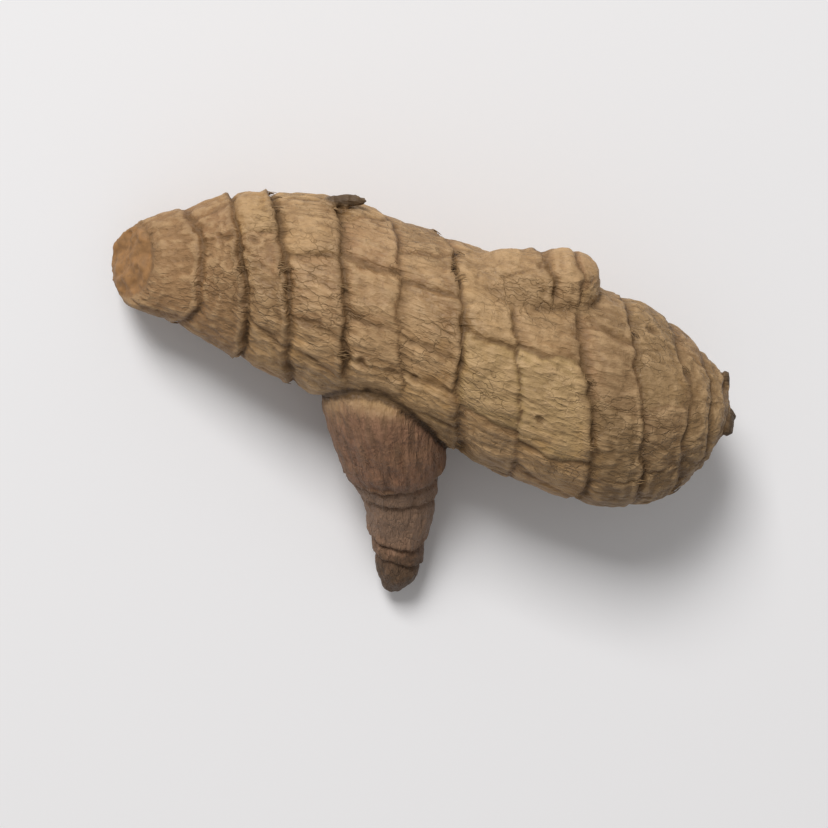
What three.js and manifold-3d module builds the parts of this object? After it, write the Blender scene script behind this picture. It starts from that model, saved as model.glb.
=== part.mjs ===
// One fresh turmeric finger: a tapered, ringed rhizome that lies on its side, with a short bud stub on
// one flank and a young side shoot on the other. It grew as one piece, so it is one closed solid.
// Millimetres, +Z up, +X from the broken neck to the growing tip. The origin is the middle of the
// footprint, at the height of the surface that the root lies on.
import * as THREE from "three";
import { mergeVertices } from "three/addons/utils/BufferGeometryUtils.js";
import Module from "manifold-3d";

// Finger
const FINGER_LENGTH = 58.5;
const FINGER_HALF_WIDTH = 10.2;
const FLATNESS = 0.92; // height of a cross-section over its width
const TIP_START = 43.5; // from here the finger rounds off to its tip
const RING_DEPTH = 0.035; // share of the radius lost at a leaf-scale ring
const RING_SLANT = 0.3; // the rings lean back towards the neck on the +Y flank
const RINGS = [4.5, 9.5, 14.2, 19.8, 24.9, 30.1, 36.1, 42.6, 48.2, 52.5, 55.2, 57.0];
const NECK_LEAN = 0.6; // the break slopes, so its face looks up as well as back
const NECK_LEAN_END = 11.0; // the slope of the break has died out by here
const FINGER_SIDES = 28;

// Finger outline: distance from the neck, share of the half width, and where its core runs
const FINGER_OUTLINE = [
  { along: 0.0, girth: 0.37, y: 0.0, z: 5.6 },
  { along: 5.0, girth: 0.53, y: 0.7, z: 6.9 },
  { along: 11.0, girth: 0.74, y: 0.9, z: 7.6 },
  { along: 18.0, girth: 0.89, y: 0.7, z: 8.1 },
  { along: 27.0, girth: 0.93, y: -0.4, z: 8.9 },
  { along: 36.0, girth: 0.99, y: -1.9, z: 9.3 },
  { along: 44.0, girth: 1.0, y: -2.6, z: 9.1 },
  { along: 58.5, girth: 0.96, y: -2.2, z: 9.4 },
];

// Side shoot: from inside the finger out and down to the surface
const SHOOT_BASE_RADIUS = 7.2;
const SHOOT_TIP_RADIUS = 2.0;
const SHOOT_TIP_START = 0.84; // share of its length where it starts to round off
const SHOOT_RINGS = [0.45, 0.62, 0.78, 0.9]; // shares of its length
const SHOOT_SIDES = 18;
const SHOOT_CORE = [
  [25.0, -2.5, 8.4],
  [27.2, -10.0, 7.6],
  [29.8, -17.0, 4.7],
  [32.2, -27.1, 1.6],
];

// Bud stub: lies along the other flank and points to the tip
const BUD_BASE_RADIUS = 4.6;
const BUD_TIP_RADIUS = 2.7;
const BUD_TIP_START = 0.86;
const BUD_RINGS = [0.55, 0.8];
const BUD_SIDES = 16;
const BUD_CORE = [
  [30.5, 3.2, 11.8],
  [36.0, 6.0, 12.7],
  [42.4, 7.9, 13.0],
];

// Underside
const REST_DEPTH = 0.45; // how far the lowest points are pressed flat

const wasm = await Module();
wasm.setup();

// Value at x of the smooth curve through points { along, [key] }
function smoothAt(points, key, x) {
  const last = points.length - 2;
  const found = points.findIndex((point, i) => i <= last && x <= points[i + 1].along);
  const i = found < 0 ? last : found;
  const at = (k) => points[THREE.MathUtils.clamp(k, 0, points.length - 1)];
  const span = at(i + 1).along - at(i).along;
  const slope = (k) => {
    const low = at(k - 1);
    const high = at(k + 1);
    return (high[key] - low[key]) / (high.along - low.along);
  };
  const t = (x - at(i).along) / span;
  const rise = at(i + 1)[key] - at(i)[key];
  const bend = slope(i) * span - rise;
  const counterBend = rise - slope(i + 1) * span;
  return at(i)[key] + rise * t + t * (1 - t) * (bend * (1 - t) + counterBend * t);
}

// Share of the radius left at u, from 0 where a round end starts to 1 at its pole
function dome(u) {
  return Math.sqrt(Math.max(0, 1 - Math.max(0, u) ** 2));
}

// Stations from start to end with a shallow groove at every ring and a slight swelling between rings
function ringedStations(start, rings, end) {
  const stops = [start, ...rings, end];
  const stations = [];
  stops.slice(0, -1).forEach((from, i) => {
    const span = stops[i + 1] - from;
    const groove = i === 0 ? 1 : 1 - RING_DEPTH;
    stations.push({ along: from, swell: groove });
    stations.push({ along: from + 0.14 * span, swell: 1 });
    stations.push({ along: from + 0.5 * span, swell: 1 + RING_DEPTH / 2 });
    stations.push({ along: from + 0.86 * span, swell: 1 });
  });
  return stations;
}

// A closed tube of round sections: a lathe of unit radius whose vertices go to place(station, side, up)
function sweptGeometry(stations, sides, place) {
  const rim = stations.map((station, row) => new THREE.Vector2(1, row));
  const profile = [new THREE.Vector2(0, 0), ...rim, new THREE.Vector2(0, stations.length - 1)];
  const geometry = new THREE.LatheGeometry(profile, sides);
  const vertices = geometry.getAttribute("position");
  const moved = new THREE.Vector3();
  for (let i = 0; i < vertices.count; i++) {
    const station = stations[Math.round(vertices.getY(i))];
    moved.copy(place(station, vertices.getX(i), vertices.getZ(i)));
    vertices.setXYZ(i, moved.x, moved.y, moved.z);
  }
  return geometry;
}

// The finger itself, with sections square to X that lean with the rings and with the break
function fingerGeometry() {
  const stations = ringedStations(0, RINGS, FINGER_LENGTH);
  const place = (station, side, up) => {
    const x = station.along;
    const round = dome((x - TIP_START) / (FINGER_LENGTH - TIP_START));
    const halfWidth = FINGER_HALF_WIDTH * smoothAt(FINGER_OUTLINE, "girth", x) * round * station.swell;
    const y = -side * halfWidth;
    const z = up * halfWidth * FLATNESS;
    const nearNeck = Math.max(0, 1 - x / NECK_LEAN_END);
    const lean = NECK_LEAN * nearNeck * z - RING_SLANT * (1 - nearNeck) * y * round;
    return new THREE.Vector3(
      x + lean,
      smoothAt(FINGER_OUTLINE, "y", x) + y,
      smoothAt(FINGER_OUTLINE, "z", x) + z,
    );
  };
  return sweptGeometry(stations, FINGER_SIDES, place);
}

// A side growth along a curved core, with sections square to the core
function sideGrowthGeometry({ core, baseRadius, tipRadius, tipStart, rings, sides }) {
  const curve = new THREE.CatmullRomCurve3(core.map((point) => new THREE.Vector3(...point)));
  const worldUp = new THREE.Vector3(0, 0, 1);
  const place = (station, side, up) => {
    const share = station.along;
    const round = dome((share - tipStart) / (1 - tipStart));
    const radius = THREE.MathUtils.lerp(baseRadius, tipRadius, share) * round * station.swell;
    const tangent = curve.getTangentAt(share);
    const right = tangent.clone().cross(worldUp).normalize();
    const top = right.clone().cross(tangent);
    return curve.getPointAt(share).addScaledVector(right, side * radius).addScaledVector(top, up * radius);
  };
  return sweptGeometry(ringedStations(0, rings, 1), sides, place);
}

// A closed geometry as a solid, and back
function toSolid(geometry) {
  const bare = new THREE.BufferGeometry().setAttribute("position", geometry.getAttribute("position"));
  bare.setIndex(geometry.index);
  const merged = mergeVertices(bare);
  return new wasm.Manifold(
    new wasm.Mesh({
      numProp: 3,
      vertProperties: merged.getAttribute("position").array,
      triVerts: new Uint32Array(merged.index.array),
    }),
  );
}

function toGeometry(solid) {
  const { vertProperties, triVerts } = solid.getMesh();
  const geometry = new THREE.BufferGeometry();
  geometry.setAttribute("position", new THREE.BufferAttribute(vertProperties, 3));
  geometry.setIndex(new THREE.BufferAttribute(triVerts, 1));
  return geometry.toNonIndexed();
}

// The surface that the root lies on, as a slab that presses its lowest points flat
function surfaceGeometry(solid) {
  const { min } = solid.boundingBox();
  const size = 3 * FINGER_LENGTH;
  const top = min[2] + REST_DEPTH;
  return new THREE.BoxGeometry(size, size, size).translate(0, 0, top - size / 2);
}

const shoot = sideGrowthGeometry({
  core: SHOOT_CORE,
  baseRadius: SHOOT_BASE_RADIUS,
  tipRadius: SHOOT_TIP_RADIUS,
  tipStart: SHOOT_TIP_START,
  rings: SHOOT_RINGS,
  sides: SHOOT_SIDES,
});
const bud = sideGrowthGeometry({
  core: BUD_CORE,
  baseRadius: BUD_BASE_RADIUS,
  tipRadius: BUD_TIP_RADIUS,
  tipStart: BUD_TIP_START,
  rings: BUD_RINGS,
  sides: BUD_SIDES,
});
const grown = toSolid(fingerGeometry()).add(toSolid(shoot)).add(toSolid(bud));
const rootGeometry = toGeometry(grown.subtract(toSolid(surfaceGeometry(grown))));

// Set the root down with the middle of its footprint on the origin
rootGeometry.computeBoundingBox();
const { min, max } = rootGeometry.boundingBox;
rootGeometry.translate(-(min.x + max.x) / 2, -(min.y + max.y) / 2, -min.z);
rootGeometry.computeVertexNormals();

const skin = new THREE.MeshStandardMaterial({ color: 0x9d805f, roughness: 0.85, metalness: 0 });
const root = new THREE.Mesh(rootGeometry, skin);
root.name = "turmeric_root";

const turmeric = new THREE.Group();
turmeric.add(root);

export default turmeric;
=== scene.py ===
import math
import random

import bmesh
import bpy
import numpy as np
from mathutils import Matrix, Vector, noise


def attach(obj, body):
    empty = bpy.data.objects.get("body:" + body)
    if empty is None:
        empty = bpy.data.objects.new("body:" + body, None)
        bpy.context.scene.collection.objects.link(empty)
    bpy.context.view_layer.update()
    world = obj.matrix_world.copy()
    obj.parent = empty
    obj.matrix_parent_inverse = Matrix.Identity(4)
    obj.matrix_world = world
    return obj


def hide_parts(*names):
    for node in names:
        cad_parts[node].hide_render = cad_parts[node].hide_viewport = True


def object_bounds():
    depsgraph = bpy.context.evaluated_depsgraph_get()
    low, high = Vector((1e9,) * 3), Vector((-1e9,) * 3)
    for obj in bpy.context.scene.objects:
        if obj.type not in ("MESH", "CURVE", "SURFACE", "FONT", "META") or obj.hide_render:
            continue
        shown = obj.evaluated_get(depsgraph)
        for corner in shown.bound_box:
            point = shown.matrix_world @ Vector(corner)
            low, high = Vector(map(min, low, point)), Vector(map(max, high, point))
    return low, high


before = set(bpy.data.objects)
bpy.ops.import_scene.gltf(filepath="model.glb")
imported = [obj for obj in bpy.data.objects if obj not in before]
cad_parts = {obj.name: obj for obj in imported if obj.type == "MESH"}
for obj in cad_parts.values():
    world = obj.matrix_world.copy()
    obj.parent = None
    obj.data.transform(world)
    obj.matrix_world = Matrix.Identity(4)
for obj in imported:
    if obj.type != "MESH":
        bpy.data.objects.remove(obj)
cad_low, cad_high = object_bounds()

# Finger: the main rhizome, a fleshy stem that crept along under the ground and swelled between its leaf
# scars. It is snapped off its mother root at the neck and ends in a blunt growing tip.
# Every shape is in millimetres from the neck, with +X to the tip, until the skin is set down in metres.
finger_length = 58.5
finger_half_width = 10.2
finger_flatness = 0.92
finger_tip_start = 43.5
finger_sides = 40
finger_steps = 80
ring_slant = 0.3
neck_lean = 0.6
neck_lean_end = 11.0
outline_along = [0.0, 5.0, 11.0, 18.0, 27.0, 36.0, 44.0, 58.5]
outline_girth = [0.37, 0.53, 0.74, 0.89, 0.93, 0.99, 1.0, 0.96]
outline_side = [0.0, 0.7, 0.9, 0.7, -0.4, -1.9, -2.6, -2.2]
outline_height = [5.6, 6.9, 7.6, 8.1, 8.9, 9.3, 9.1, 9.4]
almost_all = 0.999


def smooth_through(x, stops, values):
    """The smooth curve through the values at the stops, read at x."""
    stops = np.asarray(stops, float)
    values = np.asarray(values, float)
    rise = np.gradient(values)
    run = np.gradient(stops)
    slope = rise / run
    i = np.clip(np.searchsorted(stops, x) - 1, 0, len(stops) - 2)
    span = stops[i + 1] - stops[i]
    climb = values[i + 1] - values[i]
    t = (x - stops[i]) / span
    bend = slope[i] * span - climb
    counter_bend = climb - slope[i + 1] * span
    return values[i] + climb * t + t * (1 - t) * (bend * (1 - t) + counter_bend * t)


def dome(u):
    """Share of the radius left at u, from 0 where a round end starts to 1 at its pole."""
    return np.sqrt(np.clip(1 - np.clip(u, 0, 1) ** 2, 0, 1))


def finger_section(along):
    """Half width, core side, core height and roundness of the finger at that distance from the neck."""
    rounding = dome((along - finger_tip_start) / (finger_length - finger_tip_start))
    half_width = finger_half_width * smooth_through(along, outline_along, outline_girth) * rounding
    side = smooth_through(along, outline_along, outline_side)
    height = smooth_through(along, outline_along, outline_height)
    return half_width, side, height, rounding


def finger_matrix(along):
    """Lays a unit disc on the finger's section there, leaning as the rings and the break lean."""
    half_width, side, height, rounding = (float(value) for value in finger_section(along))
    half_height = half_width * finger_flatness
    near_neck = max(0.0, 1 - along / neck_lean_end)
    across = Vector((-ring_slant * (1 - near_neck) * rounding * half_width, half_width, 0))
    upward = Vector((neck_lean * near_neck * half_height, 0, half_height))
    laid = Matrix((across, upward, (1, 0, 0))).transposed().to_4x4()
    return Matrix.Translation((along, side, height)) @ laid


def draw_out(form, sections, sides):
    """Adds a closed form to the bmesh: a disc on the first section, drawn out through all the others."""
    disc = bmesh.ops.create_circle(form, cap_ends=True, radius=1, segments=sides, matrix=sections[0])
    foot = disc["verts"][0].link_faces[0]
    cap = foot
    for before, after in zip(sections, sections[1:]):
        drawn = bmesh.ops.extrude_face_region(form, geom=[cap])
        if cap is not foot:
            bmesh.ops.delete(form, geom=[cap], context="FACES_ONLY")
        cap = next(part for part in drawn["geom"] if isinstance(part, bmesh.types.BMFace))
        bmesh.ops.transform(form, matrix=after @ before.inverted(), verts=cap.verts)


form = bmesh.new()
finger_stations = finger_length * almost_all * np.sin(np.linspace(0, math.pi / 2, finger_steps))
draw_out(form, [finger_matrix(along) for along in finger_stations], finger_sides)

# Side shoot: a young branch that left one flank of the finger and grew out and down to the ground.
# It is browner and pinker than the old skin, tapers to a dark blunt end, and is fused to the finger.
shoot_base_radius = 7.2
shoot_tip_radius = 2.0
shoot_round_from = 0.84
shoot_core = [(25.0, -2.5, 8.4), (27.2, -10.0, 7.6), (29.8, -17.0, 4.7), (32.2, -27.1, 1.6)]
growth_steps = 70
growth_sides = 28


def side_growth(core_stops, base_radius, tip_radius, round_from):
    """A tapering growth along a curved core, from its root inside the finger to its round end."""
    stops = np.array(core_stops, float)
    legs = np.linalg.norm(np.diff(stops, axis=0), axis=1)
    reach = np.concatenate(([0], np.cumsum(legs)))
    share = almost_all * np.sin(np.linspace(0, math.pi / 2, growth_steps))
    along = share * reach[-1]
    core = np.stack([smooth_through(along, reach, stops[:, axis]) for axis in range(3)], axis=1)
    heading = np.gradient(core, axis=0)
    heading /= np.linalg.norm(heading, axis=1)[:, None]
    side = np.cross(heading, (0, 0, 1))
    side /= np.linalg.norm(side, axis=1)[:, None]
    top = np.cross(side, heading)
    taper = base_radius + (tip_radius - base_radius) * share
    radius = taper * dome((share - round_from) / (1 - round_from))
    return {"along": along, "core": core, "heading": heading, "side": side, "top": top, "radius": radius}


def draw_out_growth(form, growth):
    """Adds a side growth to the bmesh as a closed form of round sections square to its core."""
    sections = []
    for i, radius in enumerate(growth["radius"]):
        axes = (growth["side"][i] * radius, growth["top"][i] * radius, growth["heading"][i])
        laid = Matrix([Vector(axis) for axis in axes]).transposed().to_4x4()
        sections.append(Matrix.Translation(growth["core"][i]) @ laid)
    draw_out(form, sections, growth_sides)


shoot = side_growth(shoot_core, shoot_base_radius, shoot_tip_radius, shoot_round_from)
draw_out_growth(form, shoot)

# Bud stub: a short blunt branch on the other flank, lying along the finger and pointing to its tip.
# It stopped growing early, so its end is round and its skin is the same dry tan as the finger's.
bud_base_radius = 4.9
bud_tip_radius = 2.7
bud_round_from = 0.86
bud_core = [(28.5, 2.0, 10.2), (36.0, 6.0, 12.7), (42.4, 7.9, 13.0)]
bud = side_growth(bud_core, bud_base_radius, bud_tip_radius, bud_round_from)
draw_out_growth(form, bud)
heel_base_radius = 4.7
heel_tip_radius = 2.9
heel_core = [(27.5, 0.0, 11.0), (35.5, 3.9, 13.0), (40.0, 5.9, 13.0)]
draw_out_growth(form, side_growth(heel_core, heel_base_radius, heel_tip_radius, bud_round_from))

# Rootlets: the stubs of thin feeding roots that dried up or were rubbed off when the finger was washed.
# Each is a dark woody nub that grows out of the skin; a few lie along it, the others only just show.
rootlet_depth = 1.2
rootlet_round_from = 0.55
rootlet_taper = 0.75
rootlet_bend = 0.1
# Distance along the finger, angle from the +Y flank over the top, lean to the tip, length and radius
rootlets = [
    (19.2, 18, 3.0, 3.5, 0.72),
    (57.2, 22, 0.7, 0.8, 0.9),
    (58.2, 120, 1.6, 0.8, 0.95),
    (11.2, -28, 0.5, 0.7, 0.6),
    (25.8, -34, -0.4, 0.8, 0.55),
    (33.0, 208, 0.5, 0.6, 0.6),
    (45.4, 203, 0.6, 0.7, 0.6),
    (46.4, -24, 0.4, 0.6, 0.6),
    (15.9, 206, 0.3, 0.6, 0.55),
]
for along, angle, lean, length, radius in rootlets:
    section = finger_matrix(along)
    turn = math.radians(angle)
    foot = section @ Vector((math.cos(turn), math.sin(turn), 0))
    outward = (foot - section.translation).normalized()
    heading = (outward + Vector((lean, 0, 0))).normalized()
    bent = heading.cross(outward).cross(heading) * (rootlet_bend * length)
    halfway = foot + heading * (0.5 * length) + bent
    rootlet_core = [foot - outward * rootlet_depth, foot, halfway, foot + heading * length]
    grown = side_growth(rootlet_core, radius, radius * rootlet_taper, rootlet_round_from)
    draw_out_growth(form, grown)

# Growing point: the blunt, dry bud in the middle of the finger's tip, shut in by its last leaf scales.
# It is a small woody knob that just stands out of the tip.
point_base_radius = 2.6
point_tip_radius = 1.1
point_round_from = 0.5
point_core = [(55.0, -2.3, 9.4), (58.2, -2.2, 9.5), (59.3, -2.0, 9.8)]
growing_point = side_growth(point_core, point_base_radius, point_tip_radius, point_round_from)
draw_out_growth(form, growing_point)

# Skin: the finger, the shoot, the bud and the rootlets grew as one, so they are fused under one closed
# skin of fine, even faces. The relief of the bark is then worked into that skin.
skin_grain = 0.238
bmesh.ops.recalc_face_normals(form, faces=form.faces)
grown_mesh = bpy.data.meshes.new("grown_forms")
form.to_mesh(grown_mesh)
form.free()
root = bpy.data.objects.new("turmeric_finger", grown_mesh)
bpy.context.scene.collection.objects.link(root)
fuse = root.modifiers.new("fuse", "REMESH")
fuse.mode = "VOXEL"
fuse.voxel_size = skin_grain
fuse.adaptivity = 0
fuse.use_smooth_shade = True
fused = root.evaluated_get(bpy.context.evaluated_depsgraph_get())
skin_mesh = bpy.data.meshes.new_from_object(fused)
skin_mesh.name = "turmeric_skin"
root.modifiers.clear()
root.data = skin_mesh
bpy.data.meshes.remove(grown_mesh)


def read_points(field):
    """One vector for each point of the skin, as rows of an array."""
    values = np.empty(3 * len(skin_mesh.vertices), np.float32)
    skin_mesh.vertices.foreach_get(field, values)
    return values.reshape(-1, 3).astype(float)


points = read_points("co")
point_count = len(points)


def noise_at(places, size, seed):
    """Smooth noise from about -1 to 1 at the places, with lumps of that size."""
    shifted = np.asarray(places) / size + 17.3 * seed
    return np.array([noise.noise(Vector(place)) for place in shifted])


def ease(value, low, high):
    """0 below low, 1 above high, and smooth in between."""
    share = np.clip((value - low) / (high - low), 0, 1)
    return share * share * (3 - 2 * share)


# Where on each growth a point of the skin lies
settle_rounds = 8
finger_along = points[:, 0].copy()
for _ in range(settle_rounds):
    half_width, core_side, core_height, rounding = finger_section(np.clip(finger_along, 0, finger_length))
    near_neck = np.clip(1 - finger_along / neck_lean_end, 0, 1)
    rise_over_core = points[:, 2] - core_height
    side_of_core = points[:, 1] - core_side
    lean = neck_lean * near_neck * rise_over_core - ring_slant * (1 - near_neck) * side_of_core * rounding
    finger_along = points[:, 0] - lean
finger_radius = np.hypot(side_of_core, rise_over_core / finger_flatness)
finger_angle = np.arctan2(rise_over_core / finger_flatness, side_of_core)
finger_gap = np.maximum(finger_radius - half_width, np.maximum(-finger_along, finger_along - finger_length))
finger_heading = np.tile((1.0, 0.0, 0.0), (point_count, 1))


def place_on(growth):
    """Distance along a side growth, angle around it, radius and heading there, and gap to its surface."""
    apart = np.linalg.norm(points[:, None, :] - growth["core"][None, ::2, :], axis=2)
    nearest = 2 * np.argmin(apart, axis=1)
    offset = points - growth["core"][nearest]
    heading = growth["heading"][nearest]
    over = np.einsum("ij,ij->i", offset, heading)
    sideways = np.einsum("ij,ij->i", offset, growth["side"][nearest])
    upward = np.einsum("ij,ij->i", offset, growth["top"][nearest])
    along = growth["along"][nearest] + over
    radius = np.interp(along, growth["along"], growth["radius"])
    gap = np.maximum(np.abs(np.hypot(sideways, upward) - radius), -along)
    return along, np.arctan2(upward, sideways), radius, heading, gap


shoot_along, shoot_angle, shoot_girth, shoot_heading, shoot_gap = place_on(shoot)
bud_along, bud_angle, bud_girth, bud_heading, bud_gap = place_on(bud)
gaps = np.stack((np.abs(finger_gap), shoot_gap, bud_gap))
owner = np.argmin(gaps, axis=0)
ranked = np.sort(gaps, axis=0)
clear_of_seam = ease(ranked[1] - ranked[0], 0.1, 1.3)
off_skin = ease(ranked[0], 0.35, 0.7) * ease(ranked[1], 0.8, 1.6)

# Flesh filled the corners where the shoot and the bud leave the finger
fillet_reach = 2.6
fillet_rounds = 60
fillet_share = 0.5
break_rim = 0.7
corner = (ranked[1] < fillet_reach) & (ranked[0] < 0.9)
corner |= (np.abs(finger_along) < break_rim) & (finger_radius > half_width - break_rim)
fillet = bmesh.new()
fillet.from_mesh(skin_mesh)
fillet.verts.ensure_lookup_table()
corner_points = [fillet.verts[i] for i in np.flatnonzero(corner)]
for _ in range(fillet_rounds):
    bmesh.ops.smooth_vert(
        fillet,
        verts=corner_points,
        factor=fillet_share,
        use_axis_x=True,
        use_axis_y=True,
        use_axis_z=True,
    )
fillet.to_mesh(skin_mesh)
fillet.free()
points = read_points("co")
normals = read_points("normal")

# Bark relief: a leaf scale left a ring at each node, and between rings the drying skin shrivelled and split
# along the stem. Each length of stem flares to a ragged lip that overhangs a groove on its tip side.
sway_height = 1.0
sway_size = 8.0
ripple_height = 0.5
ripple_size = 2.6
jag_height = 0.28
jag_size = 1.0
flare_height = 0.22
flare_edge = 0.5
lip_height = 0.2
lip_back = 0.5
lip_width = 0.32
lip_reach = 0.1
groove_depth = 0.26
groove_width = 0.55
groove_edge = 0.3
barrel_height = 0.15
crack_spacing = 5.4
crack_depth = 0.2
crack_width = 0.42
crack_strength = 0.8
crack_end = 0.15
before_bay = -0.5
past_bay = 1.5
puff_height = 0.12
puff_width = 1.2
plate_step = 0.08
crease_depth = 0.07
crease_cell = 1.5
crease_stretch = 0.55
crease_width = 0.16
tilt_turn = 3.6
annular_height = 0.08
annular_pitch = 1.25
wrinkle_height = 0.2
wrinkle_size = 1.15
wrinkle_stretch = 0.3


def bark(here, along, angle, girth, grain, length, rings, strengths, crack_share, seed, tilt, seen_cracks):
    """The marks of the bark on the points here, which lie on one growth."""
    draw = random.Random(seed)
    spots = points[here]
    along = along[here]
    angle = angle[here]
    girth = girth[here]
    grain = grain[here]
    sway = sway_height * noise_at(spots, sway_size, seed)
    sway += ripple_height * noise_at(spots, ripple_size, seed + 1)
    sway += jag_height * noise_at(spots, jag_size, seed + 2)
    sway += tilt * np.cos(angle - math.pi * along / tilt_turn)
    edges = np.array([-9.0, *rings, length + 4.0])
    edge_strength = np.array([0.0, *strengths, 0.0])
    bay = np.clip(np.searchsorted(edges, along + sway) - 1, 0, len(rings))
    past = np.maximum(along + sway - edges[bay], 0)
    ahead = np.maximum(edges[bay + 1] - along - sway, 0)
    ramp = past / (past + ahead)
    worn = 0.75 + 0.9 * noise_at(spots, 4.0, seed + 3) + 0.6 * noise_at(spots, 1.3, seed + 12)
    worn = np.clip(worn, 0.1, 1.3)
    fray = noise_at(grain * (0.35, 1.0, 1.0), 0.6, seed + 4)
    lip = worn * edge_strength[bay + 1] * np.exp(-(((ahead - lip_back) / lip_width) ** 2))
    groove_past = edge_strength[bay] * np.exp(-((past / groove_width) ** 2))
    groove_ahead = edge_strength[bay + 1] * np.exp(-((ahead / groove_edge) ** 2))
    ring = worn * np.maximum(groove_past, groove_ahead)
    form = lip_height * lip * (1 + 0.5 * fray) - groove_depth * ring
    form += flare_height * edge_strength[bay + 1] * ramp**2 * ease(ahead, 0.0, flare_edge)
    form += barrel_height * np.sin(math.pi * ramp)
    reach = lip_reach * lip * (1 + 0.8 * fray)

    crack = np.zeros(len(here))
    border = np.full(len(here), 9.0)
    tone = np.zeros(len(here))
    step = np.zeros(len(here))
    wander = 0.7 * noise_at(spots, 3.4, seed + 5) + 0.2 * noise_at(spots, 0.9, seed + 6)
    wander /= np.maximum(girth, 1.5)
    for number in range(len(rings) + 1):
        inside = np.flatnonzero(bay == number)
        if len(inside) == 0:
            continue
        seen = [math.radians(turn) for turn, plate_tone in seen_cracks.get(number, ())]
        seen_tones = [plate_tone for turn, plate_tone in seen_cracks.get(number, ())]
        hidden_arc = 2 * math.pi - (seen[-1] - seen[0] if seen else 0)
        first = seen[-1] if seen else draw.uniform(0, 2)
        count = max(3, round(hidden_arc * float(np.mean(girth[inside])) / crack_spacing))
        spread = hidden_arc / count
        chance = [first + spread * (k + draw.uniform(-0.4, 0.4)) for k in range(1, count)]
        cracks = np.array(seen + chance)
        count = len(cracks)
        drifts = np.array([0.0] * len(seen) + [draw.uniform(-0.5, 0.5) * spread for _ in chance])
        chance_depths = [crack_strength * draw.random() ** 1.5 for _ in chance]
        depths = np.array([crack_strength] * len(seen) + chance_depths)
        late_starts = [draw.choice((before_bay, before_bay, draw.uniform(0.0, 0.5))) for _ in chance]
        starts = np.array([before_bay] * len(seen) + late_starts)
        early_ends = [draw.choice((past_bay, past_bay, draw.uniform(0.5, 1.0))) for _ in chance]
        ends = np.array([past_bay] * len(seen) + early_ends)
        plate_tones = np.array(seen_tones + [draw.uniform(-1, 0.5) for _ in chance])
        plate_steps = np.array([draw.uniform(-1, 1) for _ in cracks])
        stem_share = ramp[inside, None]
        turned = (angle + wander)[inside, None] - cracks - drifts * (stem_share - 0.5)
        wrapped = (turned + math.pi) % (2 * math.pi) - math.pi
        nearest = np.argmin(np.abs(wrapped), axis=1)
        row = np.arange(len(inside))
        gap = np.abs(wrapped[row, nearest]) * girth[inside]
        open_share = ease(ramp[inside], starts[nearest] - crack_end, starts[nearest] + crack_end)
        open_share *= 1 - ease(ramp[inside], ends[nearest] - crack_end, ends[nearest] + crack_end)
        strength = depths[nearest] * open_share * crack_share
        crack[inside] = strength * np.exp(-((gap / crack_width) ** 2))
        border[inside] = gap / np.maximum(strength, 0.1)
        plate = np.where(wrapped[row, nearest] >= 0, nearest, (nearest - 1) % count)
        tone[inside] = plate_tones[plate]
        step[inside] = plate_steps[plate]
    narrow = ease(girth, 2.0, 5.5)
    crack *= narrow
    border /= np.maximum(narrow, 0.05)
    past_ring = past / np.maximum(edge_strength[bay], 0.05)
    ahead_ring = ahead / np.maximum(edge_strength[bay + 1], 0.05)
    rim_gap = np.minimum(border, np.minimum(past_ring, ahead_ring))
    form += puff_height * (1 - np.exp(-rim_gap / puff_width)) - puff_height
    form += narrow * (plate_step * step * ease(rim_gap, 0.0, 1.0) - crack_depth * crack)

    cells = grain * (crease_stretch, 1.0, 1.0) / crease_cell + 0.25 * np.stack([fray, fray, fray], axis=1)
    reaches = np.array([noise.voronoi(Vector(cell))[0][:2] for cell in cells])
    crease = np.exp(-(((reaches[:, 1] - reaches[:, 0]) / crease_width) ** 2))
    crease_share = ease(noise_at(spots, 5.5, seed + 7), -0.35, 0.4)
    crease *= 0.25 + 0.75 * crease_share
    wrinkle = np.abs(noise_at(grain * (wrinkle_stretch, 1.0, 1.0), wrinkle_size, seed + 8))
    fine_wrinkle = np.abs(noise_at(grain * (0.5, 1.0, 1.0), 0.5 * wrinkle_size, seed + 9))
    cross_wrinkle = np.abs(noise_at(grain * (1.0, 0.3, 0.3), wrinkle_size, seed + 10))
    shrivelled = 1 - 0.6 * ease(tone, 1.0, 1.5)
    wrinkles = wrinkle + 0.5 * fine_wrinkle + 0.6 * (1 - crease_share) * cross_wrinkle - 0.5
    texture = wrinkle_height * shrivelled * wrinkles - crease_depth * crease
    near_ring = np.exp(-np.minimum(past, ahead) / 1.6)
    annular_share = np.clip(0.35 + 0.9 * noise_at(spots, 3.0, seed + 11), 0, 1) * (0.35 + 0.65 * near_ring)
    texture += annular_height * annular_share * np.cos(2 * math.pi * (along + 1.3 * sway) / annular_pitch)
    return {
        "form": form,
        "texture": texture,
        "reach": reach,
        "ring": ring,
        "ring_ahead": ahead_ring,
        "rim_gap": rim_gap,
        "lip": lip,
        "crack": crack,
        "tone": tone,
        "crease": crease,
    }


finger_rings = [4.5, 9.5, 14.2, 19.8, 24.9, 30.1, 36.1, 42.6, 48.2, 52.5, 55.2, 57.0]
finger_ring_strength = [0.5, 1.0, 1.0, 1.0, 0.3, 1.0, 0.25, 0.9, 0.55, 0.6, 0.5, 0.5]
finger_seen_cracks = {
    3: ((62, -0.6), (104, -0.2)),
    4: ((57, -0.5), (91, -0.4), (116, 0.2), (136, 0.5)),
    5: ((60, -0.3), (93, -0.2), (113, 0.3), (137, 0.3)),
    6: ((76, 0.7), (121, -0.2)),
    7: ((72, 0.9), (127, -0.1)),
}
shoot_rings = [11.8, 15.8, 19.9, 23.2]
shoot_ring_strength = [0.9, 0.7, 0.6, 0.5]
shoot_tilt = 1.0
bud_rings = [10.6, 13.4]
bud_ring_strength = [0.6, 0.4]
on_finger = np.flatnonzero(owner == 0)
on_shoot = np.flatnonzero(owner == 1)
on_bud = np.flatnonzero(owner == 2)
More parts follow.
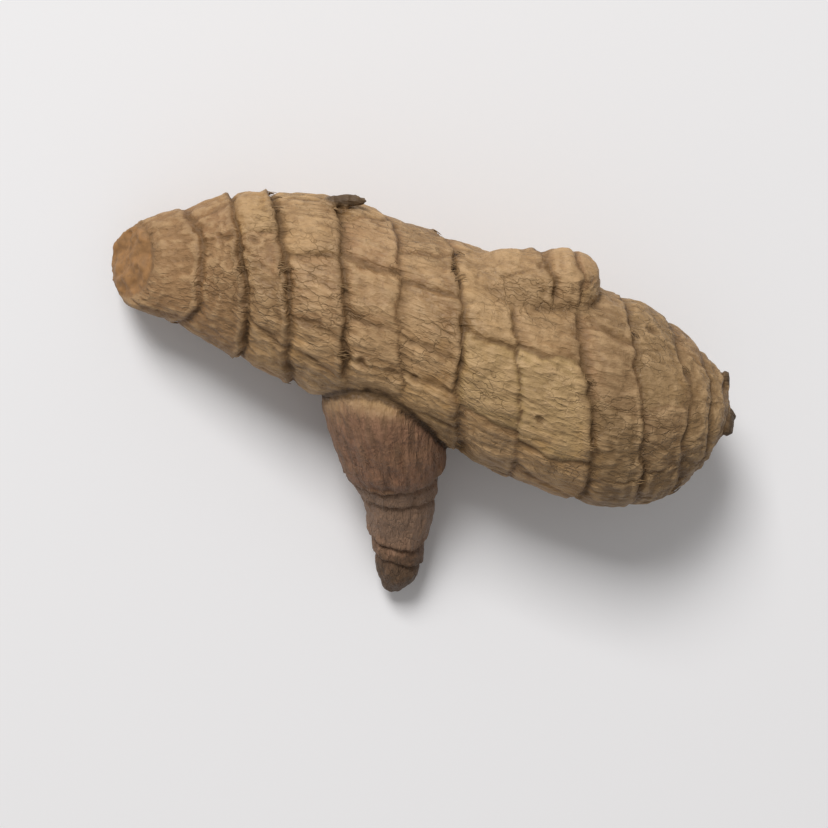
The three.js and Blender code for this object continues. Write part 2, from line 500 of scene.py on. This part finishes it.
grain = np.stack((finger_along, side_of_core, rise_over_core / finger_flatness), axis=1)
shoot_around = np.stack((np.cos(shoot_angle), np.sin(shoot_angle)), axis=1) * shoot_girth[:, None]
shoot_grain = np.concatenate((shoot_along[:, None], shoot_around), axis=1)
grain[on_shoot] = shoot_grain[on_shoot]
finger_bark = bark(
    on_finger,
    finger_along,
    finger_angle,
    half_width,
    grain,
    finger_length,
    finger_rings,
    finger_ring_strength,
    1.0,
    3,
    0.0,
    finger_seen_cracks,
)
shoot_bark = bark(
    on_shoot,
    shoot_along,
    shoot_angle,
    shoot_girth,
    grain,
    shoot["along"][-1],
    shoot_rings,
    shoot_ring_strength,
    0.3,
    31,
    shoot_tilt,
    {},
)
bud_bark = bark(
    on_bud,
    bud_along,
    bud_angle,
    bud_girth,
    grain,
    bud["along"][-1],
    bud_rings,
    bud_ring_strength,
    0.5,
    3,
    0.0,
    {},
)


def gather(name):
    """One kind of mark over the whole skin, read from the growth that each point belongs to."""
    whole = np.empty(point_count)
    for here, marks in ((on_finger, finger_bark), (on_shoot, shoot_bark), (on_bud, bud_bark)):
        whole[here] = marks[name]
    return whole


far_from_edge = 3.0
seam_depth = 0.12
seam_width = 0.5
shoot_seam_depth = 0.25
seam = np.exp(-(((ranked[1] - ranked[0]) / seam_width) ** 2))
shoot_seam_gap = np.abs(shoot_gap - np.minimum(np.abs(finger_gap), bud_gap))
clear_of_shoot = ease(shoot_seam_gap, 0.0, 0.22)
shoot_seam = np.exp(-((shoot_seam_gap / seam_width) ** 2))
height = gather("form") * clear_of_seam + gather("texture") * clear_of_shoot - seam_depth * seam
height -= shoot_seam_depth * shoot_seam
reach = gather("reach") * clear_of_seam
ring = gather("ring") * clear_of_seam
lip = gather("lip") * clear_of_seam
crack = gather("crack") * clear_of_seam
tone = gather("tone") * clear_of_seam
crease = gather("crease") * clear_of_shoot
ring_ahead = far_from_edge - np.clip(far_from_edge - gather("ring_ahead"), 0, None) * clear_of_seam
rim_gap = far_from_edge - np.clip(far_from_edge - gather("rim_gap"), 0, None) * clear_of_seam

# The shoot's collar of bud scales, and its waist below the collar
waist_depth = 0.45
waist = ease(shoot_along, 11.2, 13.7) * (1 - 0.6 * ease(shoot_along, 19.5, 25.0))
height -= waist_depth * waist * (owner == 1)

# Lumps, root scars and the break
lump_height = 0.5
lump_size = 9.0
knob_height = 0.2
knob_size = 3.2
pebble_height = 0.13
pebble_size = 1.8
height += lump_height * noise_at(points, lump_size, 81)
height += knob_height * noise_at(points, knob_size, 82)
height += pebble_height * noise_at(points, pebble_size, 83)

scar_count = 22
scar_rim_height = 0.12
scar_pit_depth = 0.16
scar_draw = random.Random(12)
scar = np.zeros(point_count)
scar_wander = 0.35 * noise_at(points, 0.8, 84)
for _ in range(scar_count):
    along = scar_draw.choice(finger_rings[1:9]) + scar_draw.uniform(0.9, 2.2)
    turn = scar_draw.uniform(-math.pi, math.pi)
    radius = scar_draw.uniform(0.55, 1.0)
    arc = (finger_angle - turn + math.pi) % (2 * math.pi) - math.pi
    away = np.hypot(finger_along - along, arc * half_width) / radius + scar_wander
    rim = np.exp(-(((away - 1) / 0.35) ** 2)) * (owner == 0)
    pit = np.exp(-((away / 0.6) ** 2)) * (owner == 0)
    height += scar_rim_height * rim - scar_pit_depth * pit
    scar = np.maximum(scar, pit)

break_wander = 0.5 * noise_at(points, 1.6, 93)
break_face = ease(-finger_along + break_wander, -1.0, -0.2)
break_face *= ease(-finger_radius / half_width + 0.1 * break_wander, -1.02, -0.86)
fracture_height = 0.5
fracture = noise_at(points, 2.6, 90) + 0.8 * noise_at(points, 1.3, 91) + 0.5 * noise_at(points, 0.6, 92)
core_share = finger_radius / half_width
fracture *= ease(1 - core_share, 0.0, 0.3)
height = height * (1 - break_face) + fracture_height * fracture * break_face
height *= 1 - 0.85 * off_skin
rootlet_wrinkle = 0.2
height -= rootlet_wrinkle * off_skin * np.abs(noise_at(points, 0.7, 94))
reach *= (1 - off_skin) * (1 - break_face)

heading = np.empty((point_count, 3))
for here, headings in ((on_finger, finger_heading), (on_shoot, shoot_heading), (on_bud, bud_heading)):
    heading[here] = headings[here]
heading -= normals * np.einsum("ij,ij->i", heading, normals)[:, None]

# The skin is set down so that its high corner meets the frame's, and what touches the ground is flat
metres_per_mm = 0.001
frame_middle = (np.array(cad_low) + np.array(cad_high)) / 2 / metres_per_mm
form_middle = (points.max(axis=0) + points.min(axis=0)) / 2
sat = frame_middle - form_middle
sat[2] = cad_high.z / metres_per_mm - points[:, 2].max()
carved = points + normals * height[:, None] + heading * reach[:, None] + sat
carved[:, 2] = np.maximum(carved[:, 2], 0)
skin_mesh.vertices.foreach_set("co", (carved * metres_per_mm).astype(np.float32).ravel())

# Hollows and ridges of the finished skin, told by how far each point lies under its wider neighbourhood
hollow_rounds = 10
edge_ends = np.empty(2 * len(skin_mesh.edges), np.int32)
skin_mesh.edges.foreach_get("vertices", edge_ends)
edge_from, edge_to = edge_ends.reshape(-1, 2).T
edge_tally = np.bincount(edge_ends, minlength=point_count)
levelled = carved.copy()
for _ in range(hollow_rounds):
    for axis in range(3):
        total = np.bincount(edge_from, levelled[edge_to, axis], point_count)
        total += np.bincount(edge_to, levelled[edge_from, axis], point_count)
        levelled[:, axis] = total / edge_tally
skin_mesh.update()
skin_normals = read_points("normal")
hollow = np.einsum("ij,ij->i", levelled - carved, skin_normals)


def record_mark(name, values, kind="FLOAT"):
    """Keeps a mark on the skin's points for its material to read."""
    attribute = skin_mesh.attributes.new(name, kind, "POINT")
    field = "vector" if kind == "FLOAT_VECTOR" else "value"
    attribute.data.foreach_set(field, np.asarray(values, np.float32).ravel())


record_mark("ring", ring)
record_mark("ring_ahead", ring_ahead)
record_mark("rim_gap", rim_gap)
record_mark("crack", crack)
record_mark("tone", tone)
record_mark("crease", crease)
record_mark("hollow", hollow)
record_mark("scar", scar)
record_mark("young", ease(shoot_along + noise_at(points, 2.2, 6), 2.5, 6.5) * (owner == 1))
shoot_wander = shoot_along + 0.8 * noise_at(points, 1.5, 7)
shoot_stem = ease(shoot_wander, 12.0, 13.4) * (1 - ease(shoot_wander, 18.5, 22.0))
record_mark("shoot_stem", shoot_stem * (owner == 1))
record_mark("shoot_end", ease(shoot_wander, 19.5, 23.5) * (owner == 1))
# The tip is tinted a darker brown all round. The tint is stronger on its -Y flank, away from the key light,
# and that extra darkening is painted shade.
tip_share_with_flank_shade = 0.6 + 0.4 * ease(-side_of_core, -3.0, 5.0)
record_mark("tip", tip_share_with_flank_shade * ease(finger_along + noise_at(points, 2.6, 4), 41.8, 45.0) * (owner == 0))
record_mark("neck", ease(-finger_along + 1.5 * noise_at(points, 3.0, 5), -15.0, -5.0) * (owner == 0))
record_mark("broken", break_face)
record_mark("rootlet", off_skin)
record_mark("seam", 1 - clear_of_shoot)
record_mark("shoot_seam", shoot_seam)
record_mark("core_share", np.clip(core_share, 0, 1.2))
record_mark("grain", grain, "FLOAT_VECTOR")
record_mark("fibre", np.zeros(point_count))
skin_mesh.update()

# Scale fringe: dry threads of the leaf scales that still cling to the rings, each rooted under a lip and
# lying close along the skin to the tip. They are part of the same skin, as fine closed threads.
tuft_count = 60
tuft_threads = 5
tuft_spread = 0.5
fibre_sides = 4
fibre_steps = 4
fibre_radius = 0.06
fringe_floor = 1.5
fibre_draw = random.Random(44)
fringe = bmesh.new()
fibre_layer = fringe.verts.layers.float.new("fibre")
on_lip = (lip > 0.55) & (owner != 1) & (off_skin < 0.1)
rooted = np.flatnonzero(on_lip & (carved[:, 2] > fringe_floor)).tolist()
for _ in range(tuft_count):
    foot_index = fibre_draw.choice(rooted)
    tuft_foot = Vector(carved[foot_index])
    outward = Vector(skin_normals[foot_index])
    forward = Vector(heading[foot_index]).normalized()
    sideways = outward.cross(forward)
    tuft_drift = fibre_draw.uniform(-0.7, 0.7)
    for _ in range(tuft_threads):
        foot = tuft_foot + sideways * fibre_draw.uniform(-tuft_spread, tuft_spread)
        length = fibre_draw.uniform(0.35, 1.3)
        drift = tuft_drift + fibre_draw.uniform(-0.5, 0.5)
        lift = fibre_draw.uniform(0.0, 0.22)
        curl = fibre_draw.uniform(-0.4, 0.4)
        sections = []
        for step in range(fibre_steps):
            share = step / (fibre_steps - 1)
            way = forward * share + sideways * (drift * share + curl * share**2)
            way += outward * (lift * share * (1 - 0.6 * share) - 0.22 * share**2)
            radius = fibre_radius * (1 - 0.6 * share)
            laid = Matrix((sideways * radius, outward * radius, forward)).transposed().to_4x4()
            placed = Matrix.Translation(foot + way * length) @ laid
            sections.append(Matrix.Scale(metres_per_mm, 4) @ placed)
        draw_out(fringe, sections, fibre_sides)
for thread_point in fringe.verts:
    thread_point[fibre_layer] = 1.0
bmesh.ops.recalc_face_normals(fringe, faces=fringe.faces)
for thread_face in fringe.faces:
    thread_face.smooth = True
fringe_mesh = bpy.data.meshes.new("scale_fringe")
fringe.to_mesh(fringe_mesh)
fringe.free()
grown_together = bmesh.new()
grown_together.from_mesh(skin_mesh)
grown_together.from_mesh(fringe_mesh)
grown_together.to_mesh(skin_mesh)
grown_together.free()
bpy.data.meshes.remove(fringe_mesh)

# Bark colours: dry tan cork, pinker or yellower from plate to plate, dark brown in the splits and rings,
# with painted shade in the hollows and painted highlights on the ridges and plate centres. The shoot's bud
# scales are pinkish brown with lengthwise veins, and the dried break shows dull orange flesh.
cork_light = (0.405, 0.243, 0.110, 1)
cork_deep = (0.262, 0.145, 0.058, 1)
cork_pink = (0.35, 0.183, 0.088, 1)
cork_olive = (0.47, 0.320, 0.135, 1)
cork_gold = (0.46, 0.250, 0.080, 1)
cork_pale_worn_and_highlight = (0.52, 0.340, 0.175, 1)
neck_tan = (0.25, 0.130, 0.052, 1)
earth_and_shade_brown = (0.135, 0.073, 0.028, 1)
split_and_shade_brown = (0.060, 0.030, 0.010, 1)
tip_brown = (0.18, 0.108, 0.048, 1)
shoot_pink = (0.245, 0.120, 0.072, 1)
shoot_deep = (0.118, 0.056, 0.034, 1)
shoot_pale = (0.27, 0.170, 0.110, 1)
shoot_brown = (0.085, 0.054, 0.029, 1)
flesh_orange = (0.32, 0.163, 0.060, 1)
flesh_dry = (0.21, 0.110, 0.042, 1)
scale_brown = (0.15, 0.080, 0.033, 1)
thread_straw = (0.24, 0.145, 0.065, 1)
rootlet_brown = (0.066, 0.040, 0.021, 1)
bark_material = bpy.data.materials.new("turmeric_bark")
bark_material.use_nodes = True
tree = bark_material.node_tree
tree.nodes.clear()


def add_node(kind, inputs=(), **settings):
    """Adds a node with its settings and inputs, each input a value or another node's output."""
    made = tree.nodes.new(kind)
    for name, value in settings.items():
        setattr(made, name, value)
    for name, value in inputs:
        if isinstance(value, bpy.types.NodeSocket):
            tree.links.new(value, made.inputs[name])
        else:
            made.inputs[name].default_value = value
    return made


def read_mark(name):
    """The value of a mark on the skin."""
    return add_node("ShaderNodeAttribute", attribute_name=name).outputs["Fac"]


def speckle(places, scale, detail=2.0, roughness=0.5):
    """Noise from 0 to 1 over the places."""
    inputs = [("Vector", places), ("Scale", scale), ("Detail", detail), ("Roughness", roughness)]
    return add_node("ShaderNodeTexNoise", inputs).outputs["Fac"]


def between(value, low, high, to_low=0.0, to_high=1.0):
    """The value eased from one range to another."""
    inputs = [("Value", value), (1, low), (2, high), (3, to_low), (4, to_high)]
    made = add_node("ShaderNodeMapRange", inputs, interpolation_type="SMOOTHSTEP")
    return made.outputs["Result"]


def reckon(operation, first, second):
    """One sum on two values."""
    return add_node("ShaderNodeMath", [(0, first), (1, second)], operation=operation).outputs["Value"]


def tint(share, under, over, blend="MIX"):
    """One colour laid over another by a share."""
    inputs = [("Factor", share), ("A", under), ("B", over)]
    made = add_node("ShaderNodeMix", [], data_type="RGBA", blend_type=blend)
    for name, value in inputs:
        socket = next(s for s in made.inputs if s.name == name and s.enabled)
        if isinstance(value, bpy.types.NodeSocket):
            tree.links.new(value, socket)
        else:
            socket.default_value = value
    return next(s for s in made.outputs if s.enabled)


places = add_node("ShaderNodeTexCoord").outputs["Object"]
fibres = add_node("ShaderNodeAttribute", attribute_name="grain").outputs["Vector"]
long_fibre = (0.14, 1.0, 1.0)
short_fibre = (0.4, 1.0, 1.0)
along_inputs = [("Vector", fibres), ("Scale", long_fibre)]
along_fibres = add_node("ShaderNodeMapping", along_inputs).outputs["Vector"]
short_inputs = [("Vector", fibres), ("Scale", short_fibre)]
short_fibres = add_node("ShaderNodeMapping", short_inputs).outputs["Vector"]

mottle = speckle(places, 240, 5, 0.65)
blotch = speckle(places, 95, 4, 0.65)
fleck = speckle(places, 1700, 2, 0.6)
streak = speckle(along_fibres, 1.7, 4, 0.65)
fine_streak = speckle(along_fibres, 5.0, 3, 0.6)
shrivel_inputs = [("Vector", short_fibres), ("Scale", 1.5), ("Detail", 3.0)]
shrivel_inputs += [("Roughness", 0.6), ("Offset", 0.9)]
shrivel = add_node("ShaderNodeTexNoise", shrivel_inputs, noise_type="RIDGED_MULTIFRACTAL").outputs["Fac"]
wander_inputs = [("Vector", fibres), ("Scale", 0.9), ("Detail", 2.0)]
wander = add_node("ShaderNodeTexNoise", wander_inputs).outputs["Color"]
moved_inputs = [(0, short_fibres), (1, wander)]
wandering = add_node("ShaderNodeVectorMath", moved_inputs, operation="ADD").outputs["Vector"]
scurf_inputs = [("Vector", wandering), ("Scale", 1.35)]
scurf = add_node("ShaderNodeTexVoronoi", scurf_inputs, feature="DISTANCE_TO_EDGE").outputs["Distance"]
scurf_share = between(speckle(places, 180, 2, 0.5), 0.42, 0.62)
scurf_line = reckon("MULTIPLY", between(scurf, 0.08, 0.0), scurf_share)

clear_grain = between(read_mark("seam"), 0.0, 1.0, 1.0, 0.0)
colour = tint(between(mottle, 0.34, 0.66), cork_deep, cork_light)
tone_mark = read_mark("tone")
colour = tint(between(tone_mark, 0.0, -1.0, 0.0, 0.5), colour, cork_pink)
colour = tint(between(tone_mark, 0.0, 1.0, 0.0, 0.7), colour, cork_olive)
dapple = speckle(places, 620, 4, 0.7)
colour = tint(between(dapple, 0.50, 0.30, 0.0, 0.38), colour, earth_and_shade_brown)
colour = tint(between(dapple, 0.52, 0.72, 0.0, 0.5), colour, cork_pale_worn_and_highlight)
colour = tint(between(blotch, 0.50, 0.72, 0.0, 0.55), colour, earth_and_shade_brown)
colour = tint(between(blotch, 0.46, 0.30, 0.0, 0.6), colour, cork_gold)
colour = tint(reckon("MULTIPLY", between(streak, 0.45, 0.75, 0.0, 0.5), clear_grain), colour, earth_and_shade_brown)
rim_wander = reckon("MULTIPLY", reckon("SUBTRACT", speckle(places, 420, 3, 0.6), 0.5), 3.0)
rim_gap_mark = reckon("ADD", read_mark("rim_gap"), rim_wander)
# Plate centres, far from the rings and cracks, are painted a paler tan as a highlight; plate borders are
# painted darker brown as shade.
colour = tint(between(rim_gap_mark, 0.5, 2.6, 0.0, 0.3), colour, cork_pale_worn_and_highlight)
colour = tint(between(rim_gap_mark, 1.0, -0.4, 0.0, 0.35), colour, earth_and_shade_brown)
colour = tint(reckon("MULTIPLY", between(fine_streak, 0.5, 0.8, 0.0, 0.45), clear_grain), colour, cork_pale_worn_and_highlight)
dark_streak = reckon("MULTIPLY", between(fine_streak, 0.46, 0.25, 0.0, 0.35), clear_grain)
colour = tint(dark_streak, colour, earth_and_shade_brown)
colour = tint(reckon("MULTIPLY", between(shrivel, 0.7, 1.6, 0.0, 0.35), clear_grain), colour, cork_pale_worn_and_highlight)
colour = tint(reckon("MULTIPLY", reckon("MULTIPLY", scurf_line, 0.3), clear_grain), colour, earth_and_shade_brown)
colour = tint(reckon("MULTIPLY", read_mark("neck"), 0.72), colour, neck_tan)
# Darker tip: a brown pigment, plus painted shade on the flank away from the key light.
colour = tint(reckon("MULTIPLY", read_mark("tip"), 0.85), colour, tip_brown)
hollow_mark = read_mark("hollow")
# Ridges of the skin are painted a paler tan as a highlight; hollows are painted darker brown as shade,
# darkest in the deepest hollows.
colour = tint(between(hollow_mark, -0.01, -0.09, 0.0, 0.4), colour, cork_pale_worn_and_highlight)
colour = tint(between(hollow_mark, 0.0, 0.12, 0.0, 0.5), colour, earth_and_shade_brown)
colour = tint(between(hollow_mark, 0.08, 0.24, 0.0, 0.35), colour, split_and_shade_brown)
colour = tint(reckon("MULTIPLY", read_mark("crease"), 0.25), colour, earth_and_shade_brown)
young_mark = read_mark("young")
shoot_skin = tint(between(streak, 0.36, 0.62), shoot_deep, shoot_pink)
colour = tint(reckon("MULTIPLY", young_mark, 0.8), colour, shoot_skin)
colour = tint(reckon("MULTIPLY", read_mark("shoot_stem"), 0.75), colour, shoot_pale)
colour = tint(reckon("MULTIPLY", read_mark("shoot_end"), 0.7), colour, shoot_brown)
colour = tint(between(fleck, 0.58, 0.75, 0.0, 0.35), colour, split_and_shade_brown)

ragged = reckon("MULTIPLY", reckon("SUBTRACT", speckle(places, 900, 4, 0.7), 0.5), 1.1)
thready = reckon("MULTIPLY", reckon("SUBTRACT", speckle(along_fibres, 4.0, 2, 0.5), 0.5), 2.2)
scale_base = between(reckon("ADD", read_mark("ring_ahead"), thready), 1.5, 0.0, 0.0, 0.55)
colour = tint(reckon("MULTIPLY", scale_base, clear_grain), colour, scale_brown)
ring_mark = read_mark("ring")
ring_line = between(reckon("ADD", ring_mark, ragged), 0.15, 1.0)
crack_mark = read_mark("crack")
crack_line = between(reckon("ADD", crack_mark, reckon("MULTIPLY", ragged, 0.7)), 0.2, 1.0)
split = reckon("MAXIMUM", reckon("MULTIPLY", ring_line, 0.56), reckon("MULTIPLY", crack_line, 0.42))
split = reckon("MAXIMUM", split, reckon("MULTIPLY", read_mark("scar"), 0.5))
colour = tint(split, colour, earth_and_shade_brown)
colour = tint(between(split, 0.35, 0.65, 0.0, 0.35), colour, split_and_shade_brown)
# Painted shade: a dark band in the crease where the shoot meets the finger.
seam_shade = between(reckon("ADD", read_mark("shoot_seam"), ragged), 0.45, 0.95, 0.0, 0.75)
colour = tint(seam_shade, colour, split_and_shade_brown)
flesh = tint(between(speckle(places, 1500, 4, 0.7), 0.28, 0.62), flesh_dry, flesh_orange)
core_share = reckon("ADD", read_mark("core_share"), reckon("MULTIPLY", ragged, 0.1))
core_ring = reckon("MULTIPLY", between(core_share, 0.5, 0.62), between(core_share, 0.76, 0.64))
flesh = tint(reckon("MULTIPLY", core_ring, 0.5), flesh, flesh_dry)
flesh = tint(between(core_share, 0.8, 1.0, 0.0, 0.8), flesh, earth_and_shade_brown)
colour = tint(read_mark("broken"), colour, flesh)
woody = between(dapple, 0.3, 0.65, 1.0, 0.78)
colour = tint(reckon("MULTIPLY", read_mark("rootlet"), woody), colour, rootlet_brown)
colour = tint(read_mark("fibre"), colour, thread_straw)

roughness = between(mottle, 0.3, 0.7, 0.5, 0.7)
roughness = reckon("ADD", roughness, reckon("MULTIPLY", split, 0.15))
fine_grain = speckle(places, 2600, 3, 0.6)
bump_height = reckon("ADD", reckon("MULTIPLY", fine_streak, 0.5), reckon("MULTIPLY", fine_grain, 0.35))
bump_height = reckon("ADD", bump_height, reckon("MULTIPLY", shrivel, 0.45))
bump_height = reckon("SUBTRACT", bump_height, reckon("MULTIPLY", scurf_line, 0.35))
shoot_ribs = reckon("MULTIPLY", reckon("MULTIPLY", streak, young_mark), 2.2)
bump_height = reckon("ADD", bump_height, shoot_ribs)
bump_height = reckon("MULTIPLY", bump_height, between(read_mark("broken"), 0.0, 1.0, 1.0, 0.0))
bump_height = reckon("MULTIPLY", bump_height, clear_grain)
bump_height = reckon("ADD", bump_height, reckon("MULTIPLY", speckle(places, 1500, 3, 0.6), 0.4))
bump_height = reckon("SUBTRACT", bump_height, reckon("MULTIPLY", split, 0.8))
bump = add_node("ShaderNodeBump", [("Strength", 0.9), ("Distance", 0.0002), ("Height", bump_height)])
bark_shader = add_node(
    "ShaderNodeBsdfPrincipled",
    [
        ("Base Color", colour),
        ("Roughness", roughness),
        ("Normal", bump.outputs["Normal"]),
        ("Specular IOR Level", 0.35),
    ],
)
add_node("ShaderNodeOutputMaterial", [("Surface", bark_shader.outputs["BSDF"])])
skin_mesh.materials.clear()
skin_mesh.materials.append(bark_material)
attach(root, "root")
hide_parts("turmeric_root")

# Floor: a wide, plain, pale studio floor that the root lies on.
floor_reach = 3.0
floor_white = (0.86, 0.85, 0.855, 1)
floor_roughness = 0.6
floor_form = bmesh.new()
bmesh.ops.create_circle(floor_form, cap_ends=True, radius=floor_reach, segments=64)
floor_mesh = bpy.data.meshes.new("floor")
floor_form.to_mesh(floor_mesh)
floor_form.free()
floor_material = bpy.data.materials.new("pale_floor")
floor_material.use_nodes = True
floor_shader = floor_material.node_tree.nodes["Principled BSDF"]
floor_shader.inputs["Base Color"].default_value = floor_white
floor_shader.inputs["Roughness"].default_value = floor_roughness
floor_mesh.materials.append(floor_material)
floor = bpy.data.objects.new("floor", floor_mesh)
bpy.context.scene.collection.objects.link(floor)

# Light and camera: soft light from the top of the picture over an even fill. The camera looks down on the
# root, which lies turned a little clockwise and below and right of the point straight under the camera.
picture_turn = math.radians(13)
picture_right = Vector((math.cos(picture_turn), math.sin(picture_turn), 0))
picture_up = Vector((-math.sin(picture_turn), math.cos(picture_turn), 0))
straight_up = Vector((0, 0, 1))
target = (cad_low + cad_high) / 2


def aim(thing, offset, turn_up):
    """Puts a lamp or the camera at the offset from the root and turns it to face the root."""
    thing.location = target + offset
    back = offset.normalized()
    right = turn_up.cross(back).normalized()
    up = back.cross(right)
    thing.rotation_euler = Matrix((right, up, back)).transposed().to_euler()


def soft_lamp(name, size, power, offset):
    """A square soft box at the offset from the root."""
    lamp = bpy.data.lights.new(name, "AREA")
    lamp.shape = "SQUARE"
    lamp.size = size
    lamp.energy = power
    lamp_object = bpy.data.objects.new(name, lamp)
    bpy.context.scene.collection.objects.link(lamp_object)
    aim(lamp_object, offset, picture_up)


key_size = 0.42
key_power = 12.6
key_offset = picture_up * 0.78 - picture_right * 0.32 + straight_up * 0.82
soft_lamp("key_soft_box", key_size, key_power, key_offset)

world = bpy.data.worlds.new("studio")
bpy.context.scene.world = world
world.use_nodes = True
fill_white = (1, 0.99, 0.985, 1)
fill_strength = 0.33
fill = world.node_tree.nodes["Background"]
fill.inputs["Color"].default_value = fill_white
fill.inputs["Strength"].default_value = fill_strength
bpy.context.scene.view_settings.view_transform = "Standard"

camera_lens = 100.0
camera_sensor = 36.0
camera_tilt = math.radians(12)
picture_width = 0.078
camera_distance = picture_width * camera_lens / camera_sensor
camera_lean = picture_up * 0.8 - picture_right * 0.6
camera_offset = straight_up * math.cos(camera_tilt) + camera_lean * math.sin(camera_tilt)
camera_data = bpy.data.cameras.new("camera")
camera_data.lens = camera_lens
camera_data.sensor_width = camera_sensor
camera_data.clip_start = 0.01
camera = bpy.data.objects.new("camera", camera_data)
bpy.context.scene.collection.objects.link(camera)
aim(camera, camera_offset * camera_distance, picture_up)
bpy.context.scene.camera = camera
